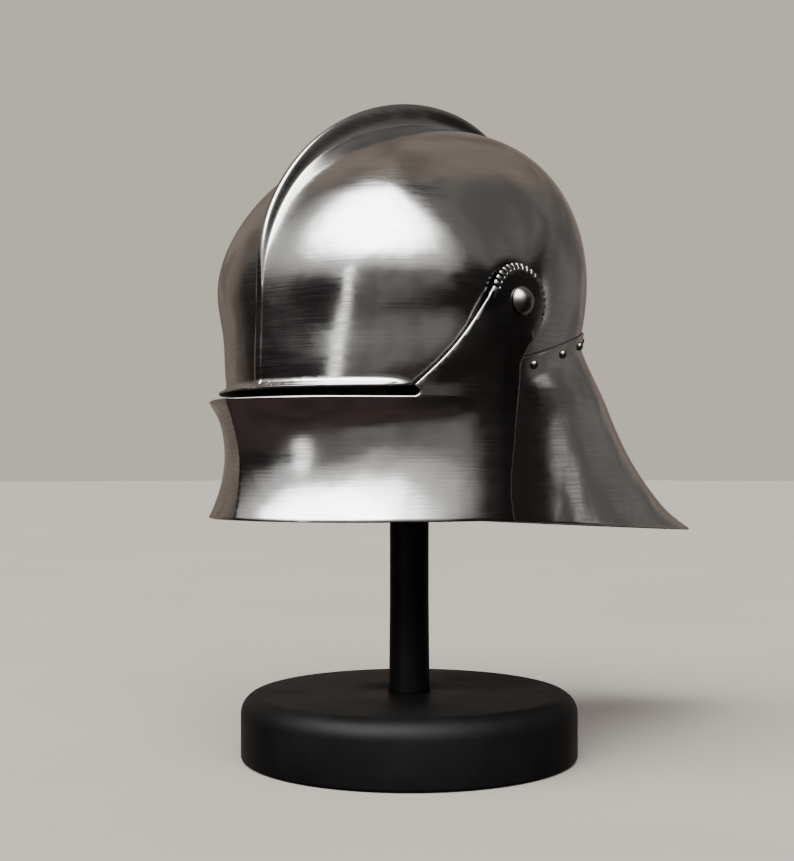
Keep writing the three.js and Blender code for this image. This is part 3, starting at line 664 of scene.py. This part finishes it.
def visor_sheet(form, step=1.5 * MM, lobe_step=0.75 * MM, end_step=0.8 * MM):
    """The visor: points (turn * scale, height) inside its edge, joined up and lifted onto visor_reach.

    A mesh fills the half from the keel to the side, because the notched edge is a line that no grid
    row can follow. The other half is its mirror image, and the two meet along the keel.
    """
    s = form.size
    scale = 0.118
    high = np.radians(99)

    def lifted(line):
        y, z = line.T
        inside = lambda turn: -form.visor_reach(turn, z) * np.cos(turn) < y
        return np.stack((scale * farthest(inside, high + 0 * y), z), 1)

    steps = (step, lobe_step, step, end_step)
    stretches = [lifted(resampled(line, size)) for line, size in zip(visor_line(form), steps)]
    foot, slit_start = stretches[0][0], stretches[-1][-1]
    rim_turn = np.linspace(0, foot[0], int(foot[0] / step))
    rim_z = rim_turn * 0 + s.rim_height
    for _ in range(3):
        turn = rim_turn / scale
        rim_z = form.rim_at(-form.visor_reach(turn, rim_z) * np.cos(turn))
    rim = np.stack((rim_turn, rim_z), 1)
    slit_turn = np.linspace(slit_start[0], 0, int(slit_start[0] / step))
    slit = np.stack((slit_turn, slit_turn * 0 + form.slit_bottom), 1)
    keel_rows = int((form.slit_bottom - s.rim_height) / step)
    keel_z = np.linspace(form.slit_bottom, s.rim_height, keel_rows)
    keel = np.stack((keel_z * 0, keel_z), 1)
    loop = np.concatenate([part[:-1] for part in [rim, *stretches, slit, keel]])

    flat, triangles = filled(loop, step)
    turn, z = flat[:, 0] / scale, flat[:, 1]
    reach = form.visor_reach(turn, z)
    points = form.polar(reach, turn, z)
    points[np.abs(flat[:, 0]) < 1e-6, 0] = 0
    points, triangles = welded([(points, triangles), mirrored(points, triangles)])
    return lobe_bevelled(form, points), triangles


def lobe_bevelled(form, points):
    """Turns the lobe's notched edge in: by the bevel times the square of the way out to the edge."""
    s = form.size
    bevel_run, margin = 1.1 * s.notch_depth, 0.5 * MM
    first, last = -60, 178
    hinge = np.array((-s.hinge_forward, s.hinge_height))
    spoke = points[:, 1:] - hinge
    out = np.hypot(*spoke.T)
    turn = np.degrees(np.arctan2(spoke[:, 1], spoke[:, 0]))
    share = np.clip((out - s.lobe_radius + bevel_run) / bevel_run, 0, 1)
    near = (out < s.lobe_radius + margin) & (turn > first) & (turn < last)
    inward = np.where(near, s.lobe_bevel * share**2, 0)
    return points - np.stack((np.sign(points[:, 0]) * inward, 0 * inward, 0 * inward), 1)


def bowl_painted_shade(size, points):
    """Painted shade on the bowl round the lobes: darker steel in the gap where the visor's lobes lie over
    it.
    """
    return lobe_painted_shade(size, points, 0, 6 * MM)


def visor_painted_shade(size, points):
    """Painted shade on the visor's lobes and along its rear edge, which dims their highlights."""
    rear_start, rear_run, share = -34 * MM, 9 * MM, 0.6
    # Painted shade along the visor's rear edge, which dims the highlight on that edge
    rear = smooth((points[:, 1] - rear_start) / rear_run)
    return share * np.maximum(lobe_painted_shade(size, points, 0, 16 * MM), rear)


def lobe_painted_shade(size, points, full, clear):
    """Painted shade by the distance beyond the lobe's edge in side view: all of it at full, none at clear.
    """
    out = np.hypot(points[:, 1] + size.hinge_forward, points[:, 2] - size.hinge_height)
    return 1 - smooth((out - size.lobe_radius - full) / (clear - full))


def tail_sheet(form, columns=112, rows=84, closing=1.45):
    """The tail: columns from its hidden front edge to the end, rows from the rim to the seam.

    Point (u, v) lies at turn front + u * (180 degrees - front) and height rim + v * (seam - rim), at
    tail_reach. With u = 1 - (1 - t)^closing the columns close up towards the end, where the plate
    bends most.
    """
    s = form.size
    v = np.linspace(0, 1, rows)[None, :]

    def height(turn):
        low = form.tail_rim(turn)
        return low + v * (form.seam_at(turn) - low)

    ahead = lambda turn: -form.tail_reach(turn, height(turn)) * np.cos(turn) < s.tail_front_back
    front = farthest(ahead, np.full_like(v, np.pi / 2), low=np.radians(40))
    u = 1 - (1 - np.linspace(0, 1, columns)) ** closing
    turn = front + u[:, None] * (np.pi - front)
    z = height(turn)
    points = form.polar(form.tail_reach(turn, z), turn, z)
    points[-1, :, 0] = 0
    half = (points.reshape(-1, 3), grid_faces(len(u), v.size))
    return welded([half, mirrored(*half)])


def tail_rivet_places(form):
    """Name, place and direction of each rivet along the tail's seam."""
    s = form.size
    per_side, first = 5, 92
    turns = first + (180 - first) / per_side * np.arange(per_side)
    names = [f"{side}_{k + 1}" for side in SIDES for k in range(per_side)] + ["nape"]
    turn = np.radians(np.concatenate((turns, -turns, (180,))))
    z = form.seam_at(turn) - s.rivet_drop
    spot = lambda t, h: form.polar(form.bowl_reach(t, h) + form.lap, t, h)
    aside = 0.02
    along = spot(turn + aside, z) - spot(turn - aside, z)
    up = spot(turn, z + MM) - spot(turn, z - MM)
    return zip(names, spot(turn, z), unit(np.cross(along, up)))


# Materials


class Value:
    """A node's output in an expression: each operator adds a Math node."""

    def __init__(self, finish, socket):
        self.finish = finish
        self.socket = socket

    def __add__(self, other):
        return self.finish.math("ADD", self, other)

    def __sub__(self, other):
        return self.finish.math("SUBTRACT", self, other)

    def __rsub__(self, other):
        return self.finish.math("SUBTRACT", other, self)

    def __mul__(self, other):
        return self.finish.math("MULTIPLY", self, other)

    def __truediv__(self, other):
        return self.finish.math("DIVIDE", self, other)

    def __pow__(self, other):
        return self.finish.math("POWER", self, other)

    def __abs__(self):
        return self.finish.math("ABSOLUTE", self)

    __radd__ = __add__
    __rmul__ = __mul__

    def between(self, low, high):
        """0 below low, 1 above high, and a soft run between them."""
        return self.finish.node("MapRange", {"interpolation_type": "SMOOTHSTEP"},
                                {"Value": self, "From Min": low, "From Max": high})


class Finish:
    """A material or a world under construction, with one method for every kind of node."""

    def __init__(self, owner):
        self.owner = owner
        owner.use_nodes = True
        self.nodes = owner.node_tree.nodes
        self.links = owner.node_tree.links
        self.nodes.clear()

    def node(self, kind, options=None, sockets=None, output=0):
        """Adds a node: its settings first, then the values or links of its sockets."""
        made = self.nodes.new("ShaderNode" + kind)
        for key, value in (options or {}).items():
            setattr(made, key, value)
        for key, value in (sockets or {}).items():
            if isinstance(value, Value):
                self.links.new(value.socket, made.inputs[key])
            else:
                made.inputs[key].default_value = value
        return None if output is None else Value(self, made.outputs[output])

    def math(self, operation, *values):
        return self.node("Math", {"operation": operation}, dict(enumerate(values)))

    def place(self, scale=(1, 1, 1)):
        """Object coordinates, stretched by a Mapping node."""
        where = self.node("TexCoord", output="Object")
        return self.node("Mapping", sockets={"Vector": where, "Scale": scale})

    def noise(self, where, scale, detail=2.0, roughness=0.5, distortion=0.0):
        return self.node("TexNoise", sockets={"Vector": where, "Scale": scale, "Detail": detail,
                                              "Roughness": roughness, "Distortion": distortion})

    def mix(self, low, high, share):
        """A colour between two colours."""
        return self.node("Mix", {"data_type": "RGBA"}, {0: share, 6: low, 7: high}, output=2)

    def bump(self, height, distance, strength=1.0, under=None):
        sockets = {"Height": height, "Distance": distance, "Strength": strength}
        if under is not None:
            sockets["Normal"] = under
        return self.node("Bump", sockets=sockets)

    def done(self, **sockets):
        """Ends the material in one Principled shader."""
        named = {key.replace("_", " "): value for key, value in sockets.items()}
        shader = self.node("BsdfPrincipled", sockets=named)
        self.node("OutputMaterial", sockets={"Surface": shader}, output=None)
        return self.owner


def new_finish(name):
    """An empty material to build a finish in."""
    return Finish(bpy.data.materials.new(name))


def opaque(rgb):
    return (*rgb, 1.0)


def polished_steel(colours, name="polished steel", dull=0.0):
    """Hand-polished plate: hammer waves, level brush lines, cloudy polish and fine pits.

    The point attribute darkens the steel with painted shade: round the lobes and along the visor's rear
    edge.
    """
    f = new_finish(name)
    plain = f.place()
    brushed = f.place((26, 26, 800))
    painted_shade = f.node("Attribute", {"attribute_name": "painted_shade"}, output="Fac")
    waves = f.noise(plain, 13, 1.0, 0.4, 0.25)
    dents = f.noise(plain, 34, 1.5, 0.45, 0.3)
    lines = f.noise(brushed, 1.0, 3.0, 0.6)
    streaks = lines.between(0.36, 0.64)
    haze = f.noise(plain, 24, 5.0, 0.62, 0.8).between(0.42, 0.78)
    cells = f.node("TexVoronoi", sockets={"Vector": plain, "Scale": 75.0}, output="Distance")
    pits = (1 - cells.between(0.02, 0.06)) * f.noise(plain, 21, 1.0).between(0.62, 0.7)
    worn = haze * 0.35 + pits * 0.5 + streaks * 0.22 + dull
    base = f.mix(opaque(colours.steel), opaque(colours.steel_dull), worn)
    # Painted shade: near-black steel where the point attribute is high, round the lobes and along the
    # visor's rear edge
    base = f.mix(base, opaque([0.12 * c for c in colours.steel_dull]), painted_shade)
    rough = 0.12 + dull * 0.05 + haze * 0.07 + streaks * 0.05 + pits * 0.3 + painted_shade * 0.08
    normal = f.bump(waves, 4.0 * MM, 0.8)
    normal = f.bump(dents, 1.1 * MM, 0.5, normal)
    normal = f.bump(lines, 0.05 * MM, 0.6, normal)
    normal = f.bump(1 - pits, 0.12 * MM, 0.8, normal)
    return f.done(Base_Color=base, Metallic=1.0, Roughness=rough, Normal=normal)


def inner_steel(colours):
    """The plates' inner faces, left black from the forge."""
    f = new_finish("blackened steel")
    grain = f.noise(f.place(), 90, 4.0, 0.65)
    base = f.mix(opaque(colours.steel_inside), opaque([0.5 * c for c in colours.steel_inside]),
                 grain.between(0.35, 0.7))
    normal = f.bump(grain, 0.3 * MM, 0.6)
    return f.done(Base_Color=base, Metallic=0.85, Roughness=0.45 + grain * 0.25, Normal=normal)


def black_paint(colours):
    """Satin black paint on turned wood: faint turning lines, brush sag and worn, dusty patches."""
    f = new_finish("satin black paint")
    plain = f.place()
    rings = f.noise(f.place((14, 14, 900)), 1.0, 2.0)
    sag = f.noise(plain, 26, 2.0)
    dust = f.noise(plain, 420, 3.0, 0.7).between(0.62, 0.85)
    worn = f.noise(plain, 14, 4.0, 0.6).between(0.4, 0.75)
    base = f.mix(opaque(colours.paint), opaque([2.6 * c for c in colours.paint]), worn * 0.5 + dust * 0.5)
    rough = 0.4 + worn * 0.14 + dust * 0.12 + rings * 0.04
    normal = f.bump(sag, 0.5 * MM, 0.35)
    normal = f.bump(rings, 0.03 * MM, 0.5, normal)
    return f.done(Base_Color=base, Roughness=rough, Normal=normal, Specular_IOR_Level=0.12)


def plain_matt(name, rgb, roughness=0.9):
    """A stage material: one matt colour with a faint mottle."""
    f = new_finish(name)
    mottle = f.noise(f.place(), 3.0, 3.0).between(0.3, 0.7)
    base = f.mix(opaque(rgb), opaque([0.94 * c for c in rgb]), mottle)
    return f.done(Base_Color=base, Roughness=roughness)


def material_for(key):
    """The finish of that name, made once."""
    _, colours = settings()
    makers = {
        "polished steel": lambda: polished_steel(colours),
        "rivet steel": lambda: polished_steel(colours, "rivet steel", dull=1.0),
        "blackened steel": lambda: inner_steel(colours),
        "satin black paint": lambda: black_paint(colours),
    }
    return bpy.data.materials.get(key) or makers[key]()


# Operators


class BuildBowl(Operator):
    """Builds the bowl with its comb and rolled brow."""

    bl_idname = "sallet.bowl"
    bl_label = "Bowl"

    def execute(self, context):
        make_plate("bowl", skull_sheet, "root", "skull", bowl_painted_shade)
        return {"FINISHED"}


class BuildVisor(Operator):
    """Builds the visor with its keel, notched lobes and slit edge."""

    bl_idname = "sallet.visor"
    bl_label = "Visor"

    def execute(self, context):
        make_plate("visor_plate", visor_sheet, "visor", "visor", visor_painted_shade)
        return {"FINISHED"}


class BuildTail(Operator):
    """Builds the long flared tail."""

    bl_idname = "sallet.tail"
    bl_label = "Tail"

    def execute(self, context):
        make_plate("tail", tail_sheet, "root", "tail_plate")
        return {"FINISHED"}


class BuildPivots(Operator):
    """Builds the domed pivots and finishes the washers behind the visor."""

    bl_idname = "sallet.pivots"
    bl_label = "Pivots"

    def execute(self, context):
        size, _ = settings()
        steel = material_for("rivet steel")
        for side, sign in SIDES.items():
            low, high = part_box(f"pivot_rivet_{side}")
            inner, outer = sorted((abs(low.x), abs(high.x)))
            seat = outer - inner - size.pivot_height
            ball = (size.pivot_radius**2 + size.pivot_height**2) / (2 * size.pivot_height)
            edge = np.degrees(np.arcsin((ball - size.pivot_height) / ball))
            dome = arc(ball, (0, seat + size.pivot_height - ball), edge, 90, 18)
            shank, peen, peen_height, peen_round = 3 * MM, 6 * MM, 2 * MM, 1 * MM
            under, ledge = 0.5 * MM, 0.35 * MM
            foot = [(0, 0), (peen - peen_round, 0), (peen, peen_round), (peen, peen_height),
                    (shank, peen_height), (shank, seat), (size.pivot_radius - under, seat),
                    (size.pivot_radius, seat + ledge)]
            dome[0] = (size.pivot_radius, seat + 2 * ledge)
            dome[-1] = (0, seat + size.pivot_height)
            origin = (sign * inner, -size.hinge_forward, size.hinge_height)
            mesh = turned_mesh(np.vstack((foot, dome)), 56, origin, (sign, 0, 0))
            make_piece(f"pivot_dome_{side}", mesh, (steel,), "root", "rivet_steel", f"pivot_rivet_{side}")
            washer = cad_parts[f"pivot_washer_{side}"]
            washer.data.materials.clear()
            washer.data.materials.append(steel)
        return {"FINISHED"}


class BuildTailRivets(Operator):
    """Builds the row of small domed rivets along the tail's seam."""

    bl_idname = "sallet.tail_rivets"
    bl_label = "Tail rivets"

    def execute(self, context):
        size, _ = settings()
        steel = material_for("rivet steel")
        shank, peen, peen_height, grip = 1.3 * MM, 2.2 * MM, 0.8 * MM, 4.7 * MM
        under, ledge = 0.05 * MM, 0.3 * MM
        foot = [(0, -grip), (peen, -grip), (peen, peen_height - grip), (shank, peen_height - grip),
                (shank, under), (size.rivet_radius, under)]
        turns = np.radians(np.linspace(0, 90, 12))
        dome = np.stack((size.rivet_radius * np.cos(turns),
                         ledge + size.rivet_height * np.sin(turns)), 1)
        dome[-1, 0] = 0
        profile = np.vstack((foot, dome))
        for name, place, direction in tail_rivet_places(Form(size)):
            make_piece(f"seam_rivet_{name}", turned_mesh(profile, 28, place, direction), (steel,), "root",
                       "rivet_steel", f"tail_rivet_{name}")
        return {"FINISHED"}


class BuildStand(Operator):
    """Builds the turned base and post."""

    bl_idname = "sallet.stand"
    bl_label = "Stand"

    def execute(self, context):
        size, _ = settings()
        paint = material_for("satin black paint")
        self.build_base(size, paint)
        self.build_post(size, paint)
        return {"FINISHED"}

    def build_base(self, size, paint):
        foot_round, socket_depth = 2.5 * MM, 12 * MM
        radius, height, edge = size.base_radius, size.base_height, size.base_edge_radius
        socket = size.post_radius + size.gap
        base = np.vstack((
            [(0, 0), (radius - foot_round, 0)],
            arc(foot_round, (radius - foot_round, foot_round), -60, 0, 5),
            arc(edge, (radius - edge, height - edge), 0, 90, 16),
            [(0.7 * radius, height), (0.4 * radius, height), (socket + MM, height), (socket, height - MM),
             (socket, height - socket_depth), (0, height - socket_depth)],
        ))
        make_piece("turned_base", turned_mesh(base, 160), (paint,), "root", "black_wood", "stand_base")

    def build_post(self, size, paint):
        low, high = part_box("stand_post")
        rest, top = high.x, high.z
        under = top - 40 * MM
        fillet, taper, rise = 12 * MM, 0.5 * MM, size.base_height
        wide = size.post_radius
        narrow = wide - taper
        post = np.vstack((
            [(0, low.z), (wide, low.z), (wide, rise + 2 * MM), (narrow, rise + 60 * MM),
             (narrow, under - fillet - 2 * MM)],
            arc(fillet, (narrow + fillet, under - fillet), 180, 100, 8),
            [(rest - 3 * MM, under), (rest - 0.5 * MM, under + 2 * MM)],
        ))
        cap = np.linspace(0, 1, 10)[:, None] ** 0.8
        dome = np.array((rest, top - 24 * MM)) * (1 - cap) + np.array((0, top - MM)) * cap
        mesh = turned_mesh(np.vstack((post, dome)), 96)
        make_piece("turned_post", mesh, (paint,), "root", "black_wood", "stand_post")


def lay_floor(material, half=24):
    """A level sheet under the stand that reaches far past the picture. The steel doesn't mirror it."""
    mesh = bpy.data.meshes.new("floor")
    corners = [(x * half, y * half, 0) for x, y in ((-1, -1), (1, -1), (1, 1), (-1, 1))]
    mesh.from_pydata(corners, [], [(0, 1, 2, 3)])
    mesh.materials.append(material)
    floor = bpy.data.objects.new("floor", mesh)
    bpy.context.scene.collection.objects.link(floor)
    floor.visible_glossy = False
    return floor


def soft_light(name, azimuth, elevation, wide, tall, radiance, distance=1.6, aim=(0, 0, 0.29)):
    """A softbox round the helmet, by the angles that it covers; azimuth 90 is on the helmet's left.

    A sheet of that area and radiance gives off pi * area * radiance watts. The steel doesn't mirror it.
    """
    a, e = np.radians((azimuth, elevation))
    way = Vector((np.sin(a) * np.cos(e), -np.cos(a) * np.cos(e), np.sin(e)))
    data = bpy.data.lights.new(name, "AREA")
    data.shape = "RECTANGLE"
    data.size, data.size_y = 2 * distance * np.tan(np.radians((wide, tall)) / 2)
    data.energy = np.pi * data.size * data.size_y * radiance
    lamp = bpy.data.objects.new(name, data)
    lamp.visible_camera = False
    lamp.visible_glossy = False
    bpy.context.scene.collection.objects.link(lamp)
    lamp.location = Vector(aim) + distance * way
    lamp.rotation_euler = way.to_track_quat("Z", "Y").to_euler()
    return lamp


def studio_world(colours):
    """The studio as the steel mirrors it: soft patches of light by direction, on a dim room.

    A patch is 1 where ((azimuth - its own) / wide)^n + ((elevation - its own) / tall)^n is well under
    1, and runs out softly over its edge. The camera sees the plain backdrop instead.
    """
    f = Finish(bpy.data.worlds.new("studio"))
    way = f.node("TexCoord", output="Generated")
    x, y, z = (f.node("SeparateXYZ", sockets={0: way}, output=axis) for axis in "XYZ")
    degrees = np.degrees(1)
    azimuth = f.math("ARCTAN2", x, y * -1) * degrees + (f.noise(way, 2.6, 3.0) - 0.5) * 14
    elevation = f.math("ARCSINE", z) * degrees + (f.noise(way, 3.4, 3.0) - 0.5) * 16

    def patch(centre, half, inner=0.1, outer=1.9, power=4):
        across = f.math("WRAP", azimuth - centre[0], 180, -180) * (1 / half[0])
        level = (elevation - centre[1]) * (1 / half[1])
        return 1 - (abs(across) ** power + abs(level) ** power).between(inner, outer)

    tones = (
        (colours.below, patch((8, -44), (74, 36), 0.4, 1.6)),
        (colours.rear, patch((-136, 20), (62, 78))),
        (colours.side, patch((130, 48), (44, 24))),
        (colours.side, patch((172, 12), (22, 24))),
        (colours.low_front, patch((48, 4), (38, 20), 0.1, 2.0)),
    )
    room = opaque(colours.room)
    for tone, where in tones:
        room = f.mix(room, opaque(tone), where)
    shade = f.noise(way, 4.0, 2.0, 0.5, 0.6).between(0.42, 0.62)
    room = f.mix(room, (0, 0, 0, 1), shade * 0.36)
    mirrored = f.node("Background", sockets={"Color": room, "Strength": 1.0})

    window = patch((22, 60), (72, 38), 0.2, 1.25, 2.6)
    window_halo = patch((20, 50), (80, 38), 0.05, 2.0)
    front_streak = patch((9, 3), (3.6, 14), 0.1, 1.8)
    side_streak = patch((152, 6), (3, 7))
    lights = window_halo * 0.9 + window * 12 + front_streak * 2.8 + side_streak * 0.4
    lamps = f.node("Background", sockets={"Color": (1, 1, 1, 1), "Strength": lights})
    whole = f.node("AddShader", sockets={0: mirrored, 1: lamps})
    plain = f.node("Background", sockets={"Color": opaque(colours.backdrop), "Strength": 1.0})
    camera = f.node("LightPath", output="Is Camera Ray")
    both = f.node("MixShader", sockets={0: camera, 1: whole, 2: plain})
    f.node("OutputWorld", sockets={"Surface": both}, output=None)
    return f.owner


class BuildStage(Operator):
    """Lays the floor, sets the lights and places the camera."""

    bl_idname = "sallet.stage"
    bl_label = "Stage and camera"

    def execute(self, context):
        _, colours = settings()
        lay_floor(plain_matt("floor", colours.floor))
        soft_light("overhead", azimuth=22, elevation=62, wide=84, tall=58, radiance=1.0)
        context.scene.world = studio_world(colours)

        azimuth, distance, height = np.radians(47), 0.896, 0.1873
        focal_px, long_px, axis_px, horizon_px, middle_px = 1350, 861, 409.3, 472, (397, 430.5)
        data = bpy.data.cameras.new("camera")
        data.sensor_width = 36
        data.lens = 36 * focal_px / long_px
        data.shift_x = (middle_px[0] - axis_px) / long_px
        data.shift_y = (horizon_px - middle_px[1]) / long_px
        camera = bpy.data.objects.new("camera", data)
        context.scene.collection.objects.link(camera)
        camera.location = (distance * np.sin(azimuth), -distance * np.cos(azimuth), height)
        camera.rotation_euler = (np.pi / 2, 0, azimuth)
        context.scene.camera = camera
        return {"FINISHED"}


STEPS = (BuildBowl, BuildVisor, BuildTail, BuildPivots, BuildTailRivets, BuildStand, BuildStage)


class SalletPanel(Panel):
    """Lists the steps that build the helmet, its stand and the stage."""

    bl_idname = "VIEW3D_PT_sallet"
    bl_label = "Sallet"
    bl_space_type = "VIEW_3D"
    bl_region_type = "UI"
    bl_category = "Sallet"

    def draw(self, context):
        for step in STEPS:
            self.layout.operator(step.bl_idname)
        for group in settings():
            box = self.layout.box()
            for name in group.bl_rna.properties.keys():
                if name not in {"rna_type", "name"}:
                    box.prop(group, name)


CLASSES = (SalletSizes, SalletColours, *STEPS, SalletPanel)


def register():
    for each in CLASSES:
        bpy.utils.register_class(each)
    bpy.types.Scene.sallet_sizes = PointerProperty(type=SalletSizes)
    bpy.types.Scene.sallet_colours = PointerProperty(type=SalletColours)


def unregister():
    del bpy.types.Scene.sallet_colours
    del bpy.types.Scene.sallet_sizes
    for each in reversed(CLASSES):
        bpy.utils.unregister_class(each)


def main():
    register()
    bpy.ops.sallet.bowl()
    bpy.ops.sallet.visor()
    bpy.ops.sallet.tail()
    bpy.ops.sallet.pivots()
    bpy.ops.sallet.tail_rivets()
    bpy.ops.sallet.stand()
    bpy.ops.sallet.stage()


if __name__ == "__main__":
    main()
